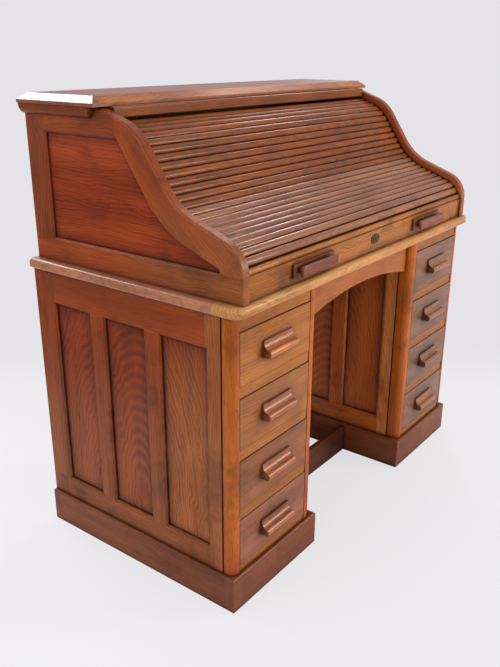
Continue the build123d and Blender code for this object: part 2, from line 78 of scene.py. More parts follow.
def joinVector(tree, x, y, z):
    node = addNode(tree, "ShaderNodeCombineXYZ")
    for socket, value in zip(node.inputs, (x, y, z)):
        feed(tree, socket, value)
    return node.outputs[0]


def splitVector(tree, vector):
    return addNode(tree, "ShaderNodeSeparateXYZ", Vector=vector).outputs


def lengthOf(tree, vector):
    node = addNode(tree, "ShaderNodeVectorMath", {"operation": "LENGTH"}, Vector=vector)
    return node.outputs["Value"]


def turnVector(tree, vector, axis, angle):
    node = addNode(tree, "ShaderNodeVectorRotate", {"rotation_type": axis + "_AXIS"},
                   Vector=vector, Angle=angle)
    return node.outputs[0]


def noise(tree, vector, scale, detail=2.0, rough=0.5):
    # scale: one number, or waves per metre along each axis
    if isinstance(scale, tuple):
        node = addNode(tree, "ShaderNodeVectorMath", {"operation": "MULTIPLY"})
        feed(tree, node.inputs[0], vector)
        node.inputs[1].default_value = scale
        vector, scale = node.outputs[0], 1.0
    return addNode(tree, "ShaderNodeTexNoise", Vector=vector, Scale=scale, Detail=detail,
                   Roughness=rough).outputs["Fac"]


def randomOf(tree, number):
    return addNode(tree, "ShaderNodeTexWhiteNoise", {"noise_dimensions": "1D"}, W=number).outputs


def objectPlace(tree):
    return addNode(tree, "ShaderNodeTexCoord").outputs["Object"]


def newMaterial(name):
    material = bpy.data.materials.new(name)
    material.use_nodes = True
    return material, material.node_tree, material.node_tree.nodes["Principled BSDF"]


def newGroup(name, inputs, outputs):
    # inputs: (label, starting value) pairs, where None makes a vector
    tree = bpy.data.node_groups.new(name, "ShaderNodeTree")
    for label, value in inputs:
        kind = "NodeSocketVector" if value is None else "NodeSocketFloat"
        socket = tree.interface.new_socket(label, in_out="INPUT", socket_type=kind)
        if value is not None:
            socket.default_value = value
    for label, kind in outputs:
        tree.interface.new_socket(label, in_out="OUTPUT", socket_type=kind)
    entry = tree.nodes.new("NodeGroupInput")
    leave = tree.nodes.new("NodeGroupOutput")
    return tree, entry.outputs, leave.inputs


def useGroup(tree, group, **values):
    node = tree.nodes.new("ShaderNodeGroup")
    node.node_tree = group
    for name, value in values.items():
        feed(tree, node.inputs[name], value)
    return node.outputs


# figure of oak; scales are waves per metre across, into and along the board
figureValues = {
    "shiftAcross": 0.31, "shiftAlong": 3.7,       # how far a board's number moves it in the trunk
    "slowScale": (5, 5, 1.6), "slowSway": 0.11,   # wander of the rings, metres
    "wavyScale": (24, 24, 17), "wavySway": 0.022,
    "fineScale": (190, 190, 12), "fineSway": 0.0045,
    "pithAside": 0.06, "pithAlong": 0.6,          # spread of the pith between boards, metres
    "beltRise": (0.0, 0.28), "beltFall": (0.85, 0.3),       # shares of a year
    "lightRise": (0.55, 0.8), "lightFall": (1.0, 0.88),
    "yearChange": 0.6, "yearLeast": 0.4,
    "poreScale": (760, 760, 24), "poreLimits": (0.57, 0.7),
    "poreInBelt": 0.9, "poreOutside": 0.25, "bandLimits": (0.3, 0.62, 0.45, 1.0),
    "raySlant": 0.35, "rayScale": (150, 90, 34), "rayLimits": (0.57, 0.7),
    "rayPatchScale": (9, 9, 3), "rayPatchLimits": (0.42, 0.62),
    "toneScale": (20, 20, 2.6), "silkScale": (330, 330, 9),
}


def makeOakFigure():
    # Place: x across the board, y into it, z along the grain, metres.
    # Rings: distance from a pith line that wanders, wrapped into years of the given spacing.
    # Aside and Depth say how far off the pith lies: far aside gives straight grain,
    # near and shallow gives arches.
    v = figureValues
    labels = ("Bands", "Lights", "Pores", "Flecks", "Tone", "Silk")
    tree, given, give = newGroup("oakFigure", [
        ("Place", None), ("Shift", 0.0), ("Spacing", 6.0), ("Depth", 0.05), ("Aside", 0.1),
        ("Wander", 1.0), ("Ripple", 1.0), ("Lean", 0.14)],
        [(label, "NodeSocketFloat") for label in labels])
    split = splitVector(tree, given["Place"])
    shift = given["Shift"]
    moved = joinVector(tree, calc(tree, "MULTIPLY_ADD", shift, v["shiftAcross"], split[0]),
                       calc(tree, "ADD", split[1], shift),
                       calc(tree, "MULTIPLY_ADD", shift, v["shiftAlong"], split[2]))

    def centred(value):
        return calc(tree, "SUBTRACT", value, 0.5)

    # slow wander, small waves and a fine jitter of the rings
    slow = centred(noise(tree, moved, v["slowScale"]))
    wavy = centred(noise(tree, moved, v["wavyScale"]))
    fine = centred(noise(tree, moved, v["fineScale"]))
    sway = calc(tree, "MULTIPLY", calc(tree, "MULTIPLY", slow, v["slowSway"]), given["Wander"])
    ripple = calc(tree, "MULTIPLY", given["Ripple"], v["wavySway"])
    sway = calc(tree, "MULTIPLY_ADD", wavy, ripple, sway)
    sway = calc(tree, "MULTIPLY_ADD", fine, v["fineSway"], sway)
    spread = addNode(tree, "ShaderNodeSeparateColor", Color=randomOf(tree, shift)["Color"]).outputs
    aside = calc(tree, "ADD", sway, calc(tree, "MULTIPLY", centred(spread[0]), v["pithAside"]))
    aside = calc(tree, "ADD", calc(tree, "ADD", split[0], given["Aside"]), aside)
    along = calc(tree, "MULTIPLY_ADD", centred(spread[1]), v["pithAlong"], split[2])
    along = calc(tree, "MULTIPLY", along, given["Lean"])
    radius = lengthOf(tree, joinVector(tree, aside, given["Depth"], along))
    years = calc(tree, "DIVIDE", calc(tree, "MULTIPLY", radius, 1 / mm), given["Spacing"])
    share = calc(tree, "FRACT", years)
    # a year starts with a belt of open pores, then fades into denser wood
    belt = calc(tree, "MULTIPLY", ramp(tree, share, *v["beltRise"]),
                ramp(tree, share, *v["beltFall"]))
    # no two years are equally strong
    strength = randomOf(tree, calc(tree, "FLOOR", years))["Value"]
    strength = calc(tree, "MULTIPLY_ADD", strength, v["yearChange"], v["yearLeast"])
    belt = calc(tree, "MULTIPLY", belt, strength)
    # the last of the dense wood can catch the light as a fine pale contour
    lights = calc(tree, "MULTIPLY", ramp(tree, share, *v["lightRise"]),
                  ramp(tree, share, *v["lightFall"]))
    # pores are thin lines along the grain, crowded in the belts
    lines = noise(tree, moved, v["poreScale"], 2.0, 0.6)
    bands = calc(tree, "MULTIPLY", belt, ramp(tree, lines, *v["bandLimits"]))
    pores = calc(tree, "MULTIPLY", ramp(tree, lines, *v["poreLimits"]),
                 calc(tree, "MULTIPLY_ADD", belt, v["poreInBelt"], v["poreOutside"]), clamp=True)
    # ray flecks: short pale ribbons lying at a slant to the grain
    movedAlong = splitVector(tree, moved)[2]
    slant = joinVector(tree, calc(tree, "MULTIPLY_ADD", movedAlong, v["raySlant"], split[0]),
                       split[1], movedAlong)
    ray = noise(tree, slant, v["rayScale"], 3.0, 0.55)
    patch = noise(tree, moved, v["rayPatchScale"], 1.0)
    flecks = calc(tree, "MULTIPLY", ramp(tree, ray, *v["rayLimits"]),
                  ramp(tree, patch, *v["rayPatchLimits"]))
    tone = noise(tree, moved, v["toneScale"], 3.0, 0.55)
    silk = noise(tree, moved, v["silkScale"], 3.0, 0.6)
    for label, value in zip(labels, (bands, lights, pores, flecks, tone, silk)):
        feed(tree, give[label], value)
    return tree


edgeWearAndHighlightValues = {"samples": 4, "leanLimits": (0.995, 0.86), "patchScale": 55.0,
              "patchLimits": (0.36, 0.62)}


def makeEdgeWearAndHighlight():
    # How far a softened normal leans from the true one marks the arrises, which are painted paler:
    # partly wear, partly a painted highlight.
    v = edgeWearAndHighlightValues
    tree, given, give = newGroup("edgeWearAndHighlight", [("Width", 0.0016), ("Patchiness", 0.5)],
                                 [("Edge", "NodeSocketFloat"), ("Normal", "NodeSocketVector")])
    soft = addNode(tree, "ShaderNodeBevel", {"samples": v["samples"]},
                   Radius=given["Width"]).outputs[0]
    true = addNode(tree, "ShaderNodeNewGeometry").outputs["Normal"]
    lean = addNode(tree, "ShaderNodeVectorMath", {"operation": "DOT_PRODUCT"})
    for socket, value in zip(lean.inputs, (soft, true)):
        feed(tree, socket, value)
    edge = ramp(tree, lean.outputs["Value"], *v["leanLimits"])
    patchy = ramp(tree, noise(tree, objectPlace(tree), v["patchScale"], 3.0), *v["patchLimits"])
    whole = calc(tree, "SUBTRACT", 1.0, given["Patchiness"])
    kept = calc(tree, "ADD", whole, calc(tree, "MULTIPLY", given["Patchiness"], patchy))
    feed(tree, give["Edge"], calc(tree, "MULTIPLY", edge, kept))
    feed(tree, give["Normal"], soft)
    return tree


def makeBetweenValues():
    # 1 between two values of a coordinate, 0 outside.
    tree, given, give = newGroup("betweenValues", [("Value", 0.0), ("Low", 0.0), ("High", 1.0)],
                                 [("Mask", "NodeSocketFloat")])
    above = calc(tree, "GREATER_THAN", given["Value"], given["Low"])
    below = calc(tree, "LESS_THAN", given["Value"], given["High"])
    feed(tree, give["Mask"], calc(tree, "MULTIPLY", above, below))
    return tree


# painted shade in a hollow is darkest where it is closed to this share, which rises with Open
hollowShadeAndPolishValues = {"samples": 6, "darkest": 0.45, "darkestSlope": 9.0, "middleOpen": 0.95,
                "cloudScale": 9.0, "cloudLimits": (0.2, 0.6, 0.6, 1.0),
                "smearScale": (14, 14, 5), "stainScale": 7.5, "stainLimits": (0.5, 0.68)}


def makeHollowShadeAndPolish():
    # Painted shade in corners and hollows, from ambient occlusion, in soft patches, with smears
    # and stains of old polish.
    v = hollowShadeAndPolishValues
    tree, given, give = newGroup("polishAndHollowShade", [("Reach", 0.012), ("Open", 0.95)], [
        (label, "NodeSocketFloat") for label in ("HollowShadeAndGrime", "Smears", "Stains")])
    hollow = addNode(tree, "ShaderNodeAmbientOcclusion", {"samples": v["samples"]},
                     Distance=given["Reach"]).outputs["AO"]
    where = objectPlace(tree)
    cloud = noise(tree, where, v["cloudScale"], 4.0, 0.6)
    darkest = calc(tree, "MULTIPLY_ADD", calc(tree, "SUBTRACT", given["Open"], v["middleOpen"]),
                   v["darkestSlope"], v["darkest"])
    shade = ramp(tree, hollow, given["Open"], darkest)
    feed(tree, give["HollowShadeAndGrime"], calc(tree, "MULTIPLY", shade, ramp(tree, cloud, *v["cloudLimits"])))
    feed(tree, give["Smears"], noise(tree, where, v["smearScale"], 4.0, 0.6))
    stains = noise(tree, where, v["stainScale"], 5.0, 0.62)
    feed(tree, give["Stains"], ramp(tree, stains, *v["stainLimits"]))
    return tree


oakFigure = makeOakFigure()
edgeWearAndHighlight = makeEdgeWearAndHighlight()
betweenValues = makeBetweenValues()
polishAndHollowShade = makeHollowShadeAndPolish()
print("shader groups made")

# varnished oak, in the tones of its boards
oakTones = {
    "side": {"pale": "a64c1b", "mid": "873c16", "dark": "3e1808"},
    "frameLow": {"pale": "a4582a", "mid": "80411c", "dark": "36190a"},
    "sideRed": {"pale": "b4531f", "mid": "924019", "dark": "441a0a"},
    "panel": {"pale": "a4441b", "mid": "7a2f15", "dark": "341408"},
    "panelLow": {"pale": "ab5629", "mid": "7f3d1b", "dark": "361708"},
    "panelFront": {"pale": "b96a32", "mid": "8b4823", "dark": "42200e"},
    "sidePanel": {"pale": "b34a1b", "mid": "903412", "dark": "471708"},
    "member": {"pale": "b56834", "mid": "904c25", "dark": "46200e"},
    # the two kneehole tones are paler, painted light for the light that reaches into the kneehole
    "kneeFrame": {"pale": "e69650", "mid": "be743e", "dark": "603016"},
    "knee": {"pale": "cc7030", "mid": "a45626", "dark": "50220e"},
    # front rows 1 to 4 are shaded copies: each lower row is painted greyer and duller for less
    # light and more reflected floor
    "front1": {"pale": "c47628", "mid": "a65c20", "dark": "582e0e"},
    "front2": {"pale": "b97230", "mid": "9a5826", "dark": "502a10"},
    "front3": {"pale": "ac6a3a", "mid": "8c502b", "dark": "4a2612"},
    "front4": {"pale": "a66646", "mid": "884e34", "dark": "462416"},
    # the right pedestal's tones are greyer, a painted sheen on its drawers and pulls
    "frontFar": {"pale": "98664a", "mid": "78503a", "dark": "3e2418"},
    # the top row's pulls are paler, a painted highlight; the lower rows' pulls are plainer
    "pullHighlight": {"pale": "f29a50", "mid": "c87038", "dark": "5e2c1a"},
    "pullLow": {"pale": "c87a48", "mid": "a25832", "dark": "502518"},
    "pullFarSheen": {"pale": "bc7e50", "mid": "985c3a", "dark": "4a261b"},
    "post": {"pale": "cc6e20", "mid": "ac561a", "dark": "58280a"},
    # the desk top's front strip is golden and also painted paler, a painted highlight along its
    # front edge
    "top": {"pale": "e8a866", "mid": "cf8c4c", "dark": "7a4826"},
    "topSide": {"pale": "c47e56", "mid": "a05e40", "dark": "52291a"},
    "topRear": {"pale": "a8673f", "mid": "884c30", "dark": "4c2a1a"},
    "board": {"pale": "a05230", "mid": "803e24", "dark": "42200f"},
    "boardEdge": {"pale": "c87c4a", "mid": "a45e38", "dark": "502a16"},
    "roll": {"pale": "a2541c", "mid": "7e4018", "dark": "381808"},
    # the low slats are paler and pinker, a painted reflection of the backdrop
    "rollLowReflection": {"pale": "b27250", "mid": "90583e", "dark": "402014"},
    "liftRail": {"pale": "c67c36", "mid": "a05c28", "dark": "4a260e"},
    "handle": {"pale": "9c5840", "mid": "783e28", "dark": "3c1c12"},
    # the apron is paler, painted light for the light from the front that reaches under the top
    "apronPaintedLight": {"pale": "c8783a", "mid": "a85c2a", "dark": "5c2e14"},
    "footRail": {"pale": "643420", "mid": "4c2616", "dark": "281209"},
    "plinth": {"pale": "8c4c2a", "mid": "6e3a20", "dark": "361a0e"},
    "inside": {"pale": "b2824c", "mid": "966a3c", "dark": "5e4026"},
}


def axisPlace(tree, axes, grain, depth):
    # turns object coordinates so that z runs along the grain and y into the board
    across = [a for a in "xyz" if a not in (grain, depth)][0]
    return joinVector(tree, axes[across], axes[depth], axes[grain])


def insideBox(tree, axes, box):
    # box: (axis, low, high) limits that must all hold
    mask = None
    for axis, low, high in box:
        part = useGroup(tree, betweenValues, Value=axes[axis], Low=low, High=high)["Mask"]
        mask = part if mask is None else calc(tree, "MULTIPLY", mask, part)
    return mask


def shadesOf(tone):
    return [colourOf(oakTones[tone][shade]) for shade in ("pale", "mid", "dark")]


# what every oak piece starts from; a piece's own dictionary overrides it
oakDefaults = {
    "shift": 0.0,                                   # board number, for a figure of its own
    "spacing": 6.0, "pith": 0.05, "aside": 0.16,    # years in mm, distance of the pith in metres
    "wander": 1.0, "ripple": 1.0, "lean": 0.14,
    "rings": 0.5, "lights": 0.0, "pores": 0.6, "flecks": 0.15, "silk": 0.7, "bump": 0.2,
    "variety": 0.2,                                 # lighter or darker from board to board
    "rough": 0.45, "coat": 0.3, "coatRough": 0.16,
    "edge": 0.0016, "wearAndHighlight": 0.35,                   # paler arris, partly wear and partly painted highlight: width in metres, strength
    "reach": 0.014, "open": 0.95, "hollowShade": 0.8,     # painted shade in hollows: size in metres, share, strength
    "stain": 0.25,
}
# how the figure becomes a finished surface, the same on every piece
finishValues = {
    "boardStep": 1.37, "boardStepGrowth": 0.61,     # from one board number to the next
    "returnStep": 3.9, "crossStep": 5.3,
    "fadeWaver": 0.3,                               # how far the figure stirs a drift of tone
    # the painted shade in hollows darkens towards a share of the darkest tone
    "toneLimits": (0.25, 0.75), "poreShade": 0.4, "hollowShadeLevel": 0.3, "patchiness": 0.55,
    "smearRough": 0.2, "smearMiddle": 0.1, "poreRough": 0.2, "grimeRough": 0.2,
    "ringHeight": -0.4, "bumpDistance": 0.0004, "specular": 0.12,
}


def oak(name, tone, grain, depth, values, crossing=(), returns=(), boards=(), woods=(), fades=()):
    # crossing: (degrees, box) pairs whose grain is turned in the face of the board
    # returns: boxes whose boards run into the depth, so that grain and depth change places
    # boards: (axis, value) or (axis, value, box), planes past which the board is another one
    # woods: (box, tone) or (box, tone, coat) where the piece is made of another wood
    # fades: (axis, start, end, tone) along which the tone drifts to another
    v = {**oakDefaults, **values}
    f = finishValues
    material, tree, shader = newMaterial(name)
    parts = splitVector(tree, objectPlace(tree))
    axes = {"x": parts[0], "y": parts[1], "z": parts[2]}
    place = axisPlace(tree, axes, grain, depth)
    number = v["shift"]
    for count, (axis, value, *box) in enumerate(boards):
        step = calc(tree, "GREATER_THAN", axes[axis], value)
        if box:
            step = calc(tree, "MULTIPLY", step, insideBox(tree, axes, box[0]))
        change = f["boardStep"] + f["boardStepGrowth"] * count
        number = calc(tree, "MULTIPLY_ADD", step, change, number)
    for count, box in enumerate(returns):
        inside = insideBox(tree, axes, box)
        turned = calc(tree, "MULTIPLY", inside, math.radians(quarterTurn))
        place = turnVector(tree, place, "X", turned)
        number = calc(tree, "MULTIPLY_ADD", inside, f["returnStep"] + count, number)
    angle = 0.0
    for count, (degrees, box) in enumerate(crossing):
        inside = insideBox(tree, axes, box)
        angle = calc(tree, "MULTIPLY_ADD", inside, math.radians(degrees), angle)
        number = calc(tree, "MULTIPLY_ADD", inside, f["crossStep"] + count, number)
    if crossing:
        place = turnVector(tree, place, "Y", angle)
    figure = useGroup(tree, oakFigure, Place=place, Shift=number, Spacing=v["spacing"],
                      Depth=v["pith"], Aside=v["aside"], Wander=v["wander"], Ripple=v["ripple"],
                      Lean=v["lean"])

    def scaled(mask, strength):
        return calc(tree, "MULTIPLY", mask, v[strength])

    def brighter(colour, level):
        return addNode(tree, "ShaderNodeHueSaturation", Value=level, Color=colour).outputs["Color"]

    shades = shadesOf(tone)
    darkest = shades[2]
    coat = v["coat"]
    for axis, start, end, otherTone in fades:
        part = calc(tree, "MULTIPLY_ADD", figure["Tone"], f["fadeWaver"], axes[axis])
        part = ramp(tree, part, start, end)
        shades = [blendColour(tree, part, c, o) for c, o in zip(shades, shadesOf(otherTone))]
    for box, otherTone, *otherCoat in woods:
        part = insideBox(tree, axes, box)
        shades = [blendColour(tree, part, c, o) for c, o in zip(shades, shadesOf(otherTone))]
        if otherCoat:
            kept = calc(tree, "MULTIPLY", calc(tree, "SUBTRACT", 1.0, part), coat)
            coat = calc(tree, "ADD", kept, calc(tree, "MULTIPLY", part, otherCoat[0]))
    pale, mid, dark = shades
    inPores, hollowShadeColour = ([c * share for c in darkest[:3]] + [1.0]
                     for share in (f["poreShade"], f["hollowShadeLevel"]))
    body = blendColour(tree, ramp(tree, figure["Tone"], *f["toneLimits"]), mid, pale)
    body = blendColour(tree, scaled(figure["Bands"], "rings"), body, dark)
    body = blendColour(tree, scaled(figure["Lights"], "lights"), body, pale)
    silk = calc(tree, "SUBTRACT", figure["Silk"], 0.5)
    body = brighter(body, calc(tree, "MULTIPLY_ADD", silk, v["silk"], 1.0))
    body = blendColour(tree, scaled(figure["Flecks"], "flecks"), body, pale)
    body = blendColour(tree, scaled(figure["Pores"], "pores"), body, inPores)
    if boards or returns or crossing:
        # every board a little lighter or darker than its neighbour
        pick = randomOf(tree, number)["Value"]
        level = calc(tree, "MULTIPLY_ADD", pick, v["variety"], 1.0 - v["variety"] / 2)
        body = brighter(body, level)
    shadeAndPolish = useGroup(tree, polishAndHollowShade, Reach=v["reach"], Open=v["open"])
    body = blendColour(tree, scaled(shadeAndPolish["Stains"], "stain"), body, dark)
    wearAndHighlight = useGroup(tree, edgeWearAndHighlight, Width=v["edge"], Patchiness=f["patchiness"])
    # arrises painted paler: partly wear, partly a painted highlight
    body = blendColour(tree, scaled(wearAndHighlight["Edge"], "wearAndHighlight"), body, pale)
    # painted shade darkens corners, hollows and the borders of panels
    body = blendColour(tree, scaled(shadeAndPolish["HollowShadeAndGrime"], "hollowShade"), body, hollowShadeColour)
    feed(tree, shader.inputs["Base Color"], body)
    rough = calc(tree, "MULTIPLY_ADD", shadeAndPolish["Smears"], f["smearRough"],
                 v["rough"] - f["smearMiddle"])
    rough = calc(tree, "MULTIPLY_ADD", figure["Pores"], f["poreRough"], rough)
    rough = calc(tree, "MULTIPLY_ADD", shadeAndPolish["HollowShadeAndGrime"], f["grimeRough"], rough, clamp=True)
    feed(tree, shader.inputs["Roughness"], rough)
    height = calc(tree, "MULTIPLY_ADD", figure["Bands"], f["ringHeight"],
                  calc(tree, "SUBTRACT", 1.0, figure["Pores"]))
    bump = addNode(tree, "ShaderNodeBump", Strength=v["bump"], Distance=f["bumpDistance"],
                   Height=height, Normal=wearAndHighlight["Normal"])
    feed(tree, shader.inputs["Normal"], bump.outputs[0])
    feed(tree, shader.inputs["Coat Weight"], coat)
    shader.inputs["Coat Roughness"].default_value = v["coatRough"]
    shader.inputs["Specular IOR Level"].default_value = f["specular"]
    return material


def dress(material, name):
    mesh = nodes[name].data
    mesh.materials.clear()
    mesh.materials.append(material)


# where the boards of the carcass meet, in millimetres from the floor and the middle
joints = {
    "pedestalMiddle": 430, "plinthFront": -291, "plinthBack": 316,
    "railLow": 153, "railHigh": 668, "firstStile": -232, "lastStile": 272,    # side frames
    "muntinOne": -68, "muntinTwo": 117,
    "deskFront": -307.5, "drawerSkin": 0.05, "drawerFace": -285.4,
    "railLip": 3, "railBack": -245,                                           # between drawers
    "endRail": 840, "memberEnd": 29.4, "backStile": 269.5,                    # ends of the roll
    "deskStrip": -262, "topEnd": 572, "boardSlope": 584.0, "boardBevel": 20, "lowSlats": 960,
}
at = {name: value * mm for name, value in joints.items()}
openingTops = [z * mm for z in (242, 400, 558)]     # of the three lower drawers

sideFrameValues = {"shift": (4, 2.1), "rings": 0.4, "silk": 0.8, "stain": 0.45}
# the side panels get broad painted shade along their frames
sidePanelValues = {"shift": (7.3, 1), "spacing": 9.0, "pith": 0.035, "aside": 0.01, "wander": 1.1,
                   "ripple": 1.6, "lean": 0.32, "rings": 0.45, "lights": 0.35, "flecks": 0.4,
                   "silk": 0.9, "reach": 0.06, "open": 0.99, "hollowShade": 0.95, "stain": 0.12}
postValues = {"shift": (11, 1.9), "spacing": 4.0, "rings": 0.35, "pores": 1.0, "wearAndHighlight": 0.2,
              "stain": 0.45}
drawerRailValues = {"shift": (20, 3.1), "rings": 0.3}
plinthValues = {"shift": (30, 0.7), "rings": 0.3, "rough": 0.5}
backBoardValues = {"shift": (0, 4.4), "coat": 0.1, "rough": 0.5}
rollEndValues = {"shift": (40, 5.5), "rings": 0.4, "silk": 0.8, "stain": 0.35, "wearAndHighlight": 0.5,
                 "coatRough": 0.3}
rollPanelValues = {"shift": (50, 6.1), "spacing": 9.0, "aside": 0.05, "wander": 1.3, "silk": 0.9,
                   "reach": 0.06, "open": 0.985, "stain": 0.35}
drawerValues = {"shift": (17, 13), "rowShift": 2.3, "spacing": 8.0, "pith": 0.04, "aside": 0.06,
                "wander": 1.3, "rings": 0.32, "silk": 0.65, "coat": 0.65, "coatRough": 0.26,
                "reach": 0.05, "open": 0.975, "stain": 0.35}
coats = {"bare": 0.1, "drawerFront": 0.5, "boardEdge": 0.3, "rubbedTop": 0.45, "polished": 1.0}
# drifts of tone along a piece: axis, start and end in metres, tone that it reaches
drifts = {
    "sideFrames": [("z", 0.8, 0.4, "frameLow")],
    "sidePanels": [("z", 0.72, 0.42, "panelLow"), ("y", 0.15, 0.0, "panelFront"),
                   ("z", 0.62, 0.9, "panel")],
    "posts": [("z", 0.55, 0.2, "side")],
    "rollEnds": [("z", 1.2, 0.98, "member"), ("y", 0.0, 0.25, "sideRed")],
}
memberSlope = -42       # degrees from level, the grain of the S member


def forSide(values, sign, rowShift=0):
    # the same values on both sides, and a board number of the side's own
    start, change = values["shift"]
    return {**values, "shift": rowShift + start + change * sign}


for side in ("left", "right"):
    sign = -1 if side == "left" else 1
    middleX = sign * at["pedestalMiddle"]
    # the face towards the kneehole is painted paler: painted light for the light that reaches into
    # the kneehole
    litKneeFace = [("x", min(middleX, 0), max(middleX, 0))]
    stileSpan = ("y", at["firstStile"], at["lastStile"])
    lowRail = [("z", -far, at["railLow"]), stileSpan]
    highRail = [("z", at["railHigh"], far), stileSpan]
    panelSpan = [("z", at["railLow"], at["railHigh"])]
    frontStile = [("y", -far, at["firstStile"])]
    dress(oak(side + "SideFrames", "side", "z", "x", forSide(sideFrameValues, sign),
              crossing=[(quarterTurn, lowRail), (quarterTurn, highRail)],
              boards=[("y", at["firstStile"]), ("y", at["muntinOne"], panelSpan),
                      ("y", at["muntinTwo"], panelSpan), ("x", middleX), ("y", at["lastStile"])],
              fades=drifts["sideFrames"],
              woods=[(highRail, "sideRed"), (frontStile, "member"), (litKneeFace, "knee"),
                     (litKneeFace + frontStile, "kneeFrame")]),
          side + "_side_frames")
    dress(oak(side + "SidePanels", "panel", "z", "x", forSide(sidePanelValues, sign),
              boards=[("y", at["muntinOne"]), ("y", at["muntinTwo"]), ("x", middleX)],
              fades=drifts["sidePanels"], woods=[(litKneeFace, "knee")]),
          side + "_side_panels")
    dress(oak(side + "Posts", "post", "z", "x", forSide(postValues, sign), boards=[("x", middleX)],
              fades=drifts["posts"]),
          side + "_front_posts")
    dress(oak(side + "DrawerRails", "front2", "x", "y", forSide(drawerRailValues, sign),
              boards=[("z", z + at["railLip"]) for z in openingTops],
              woods=[([("y", at["railBack"], far)], "inside", coats["bare"])]),
          side + "_drawer_frame")
    dress(oak(side + "PlinthOak", "plinth", "x", "y", forSide(plinthValues, sign),
              returns=[[("y", at["plinthFront"], at["plinthBack"])]], boards=[("x", middleX)]),
          side + "_plinth")
    dress(oak(side + "BackBoard", "inside", "z", "y", forSide(backBoardValues, sign)),
          side + "_pedestal_back")
    # the S member is cut along its slope, the back stile stands upright
    aboveRail = ("z", at["endRail"], far)
    dress(oak(side + "RollEnd", "side", "y", "x", forSide(rollEndValues, sign),
              crossing=[(memberSlope, [aboveRail, ("y", -far, at["memberEnd"])]),
                        (quarterTurn, [aboveRail, ("y", at["backStile"], far)])],
              boards=[("z", at["endRail"])], fades=drifts["rollEnds"],
              woods=[([aboveRail, ("y", at["memberEnd"], far)], "side")]),
          side + "_end_frame")
    dress(oak(side + "RollPanel", "sidePanel", "y", "x", forSide(rollPanelValues, sign)),
          side + "_end_panel")
    # a drawer is one node: its pull stands before the front, its box behind it
    frontStart = at["deskFront"] - at["drawerSkin"]
    for row in range(1, 5):
        # lit and shaded copies: lower rows are painted greyer, the top row's pulls carry a painted
        # highlight, the right pedestal a painted sheen
        if side == "left":
            litPullTone, litFrontTone = "pullHighlight" if row == 1 else "pullLow", f"front{row}"
        else:
            litPullTone, litFrontTone = "pullFarSheen", "frontFar"
        dress(oak(f"{side}Drawer{row}", litPullTone, "x", "y",
                  forSide(drawerValues, sign, row * drawerValues["rowShift"]),
                  boards=[("y", frontStart)],
                  woods=[([("y", frontStart, far)], litFrontTone, coats["drawerFront"]),
                         ([("y", at["drawerFace"], far)], "inside", coats["bare"])]),
              f"{side}_drawer_{row}")
print("carcass and drawers dressed")

# the desk top has a golden front strip, painted paler also as a painted highlight, and mouldings
# along both ends
deskTopValues = {"shift": 60.0, "rings": 0.4, "coatRough": 0.2, "wearAndHighlight": 0.6}
behindStrip = ("y", at["deskStrip"], far)
endStrips = [[("x", -far, -at["topEnd"]), behindStrip], [("x", at["topEnd"], far), behindStrip]]
dress(oak("deskTopOak", "top", "x", "z", deskTopValues,
          crossing=[(quarterTurn, box) for box in endStrips], boards=[("y", at["deskStrip"])],
          woods=[([behindStrip], "topRear", coats["rubbedTop"])]
          + [(box, "topSide", coats["polished"]) for box in endStrips]),
      "desk_top")
# the sloping end of the top board has kept its polish, and its front edge is paler
topBoardValues = {"shift": 61.5, "rings": 0.4, "coat": 0.26, "coatRough": 0.2, "rough": 0.5}
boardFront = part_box("top_board")[0][1]
dress(oak("topBoardOak", "board", "x", "z", topBoardValues,
          woods=[([("y", -far, boardFront + at["boardBevel"])], "boardEdge", coats["boardEdge"]),
                 ([("x", -far, -at["boardSlope"])], "board", coats["polished"])]),
      "top_board")

# name of the node: material, tone, grain, depth and values
plainPieces = {
    "top_cornice": ("corniceOak", "side", "y", "x", {"shift": 62.5, "spacing": 5.0}),
    "frieze_rail": ("friezeOak", "roll", "x", "y", {"shift": 63.5, "coat": 0.2}),
    # the apron's tone is painted paler for the light that reaches under the top
    "kneehole_apron": ("apronOak", "apronPaintedLight", "x", "y", {"shift": 64.5, "stain": 0.35}),
    "foot_rail": ("footRailOak", "footRail", "x", "y", {"shift": 65.5}),
    "modesty_panel": ("modestyOak", "inside", "x", "y", {"shift": 66.5, "coat": 0.2}),
    "roll_back": ("rollBackOak", "inside", "x", "y", {"shift": 67.5, "coat": 0.2}),
    "pigeonholes": ("pigeonholeOak", "inside", "x", "y", {"shift": 68.5}),
    "lift_rail": ("liftRailOak", "liftRail", "x", "y",
                  {"shift": 71.0, "rings": 0.45, "stain": 0.6, "reach": 0.03}),
    "lift_handles": ("handleOak", "handle", "x", "y", {"shift": 72.0, "spacing": 5.0}),
}
for name, made in plainPieces.items():
    dress(oak(*made), name)

# each slat is ripped from another board; the low ones are painted paler and pinker, a painted
# reflection of the backdrop, and all get painted shade in the valleys between them
slatValues = {"rings": 0.4, "wearAndHighlight": 0.25, "pores": 0.35, "silk": 0.5, "coatRough": 0.12,
              "hollowShade": 1.0, "reach": 0.008}
slatSteps = {"shift": (70, 1.83), "aside": (0.03, 0.02), "asideCount": 4,
             "lowCoat": 0.34, "highCoat": 0.18}
slats = sorted(name for name in nodes if name.startswith("slat_"))
for count, name in enumerate(slats):
    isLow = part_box(name)[1][2] < at["lowSlats"]
    firstShift, nextShift = slatSteps["shift"]
    firstAside, nextAside = slatSteps["aside"]
    ownValues = {"shift": firstShift + nextShift * count,
                 "aside": firstAside + nextAside * (count % slatSteps["asideCount"]),
                 "coat": slatSteps["lowCoat" if isLow else "highCoat"]}
    dress(oak(f"slatOak{count + 1}", "rollLowReflection" if isLow else "roll", "x", "z",
              {**slatValues, **ownValues}), name)

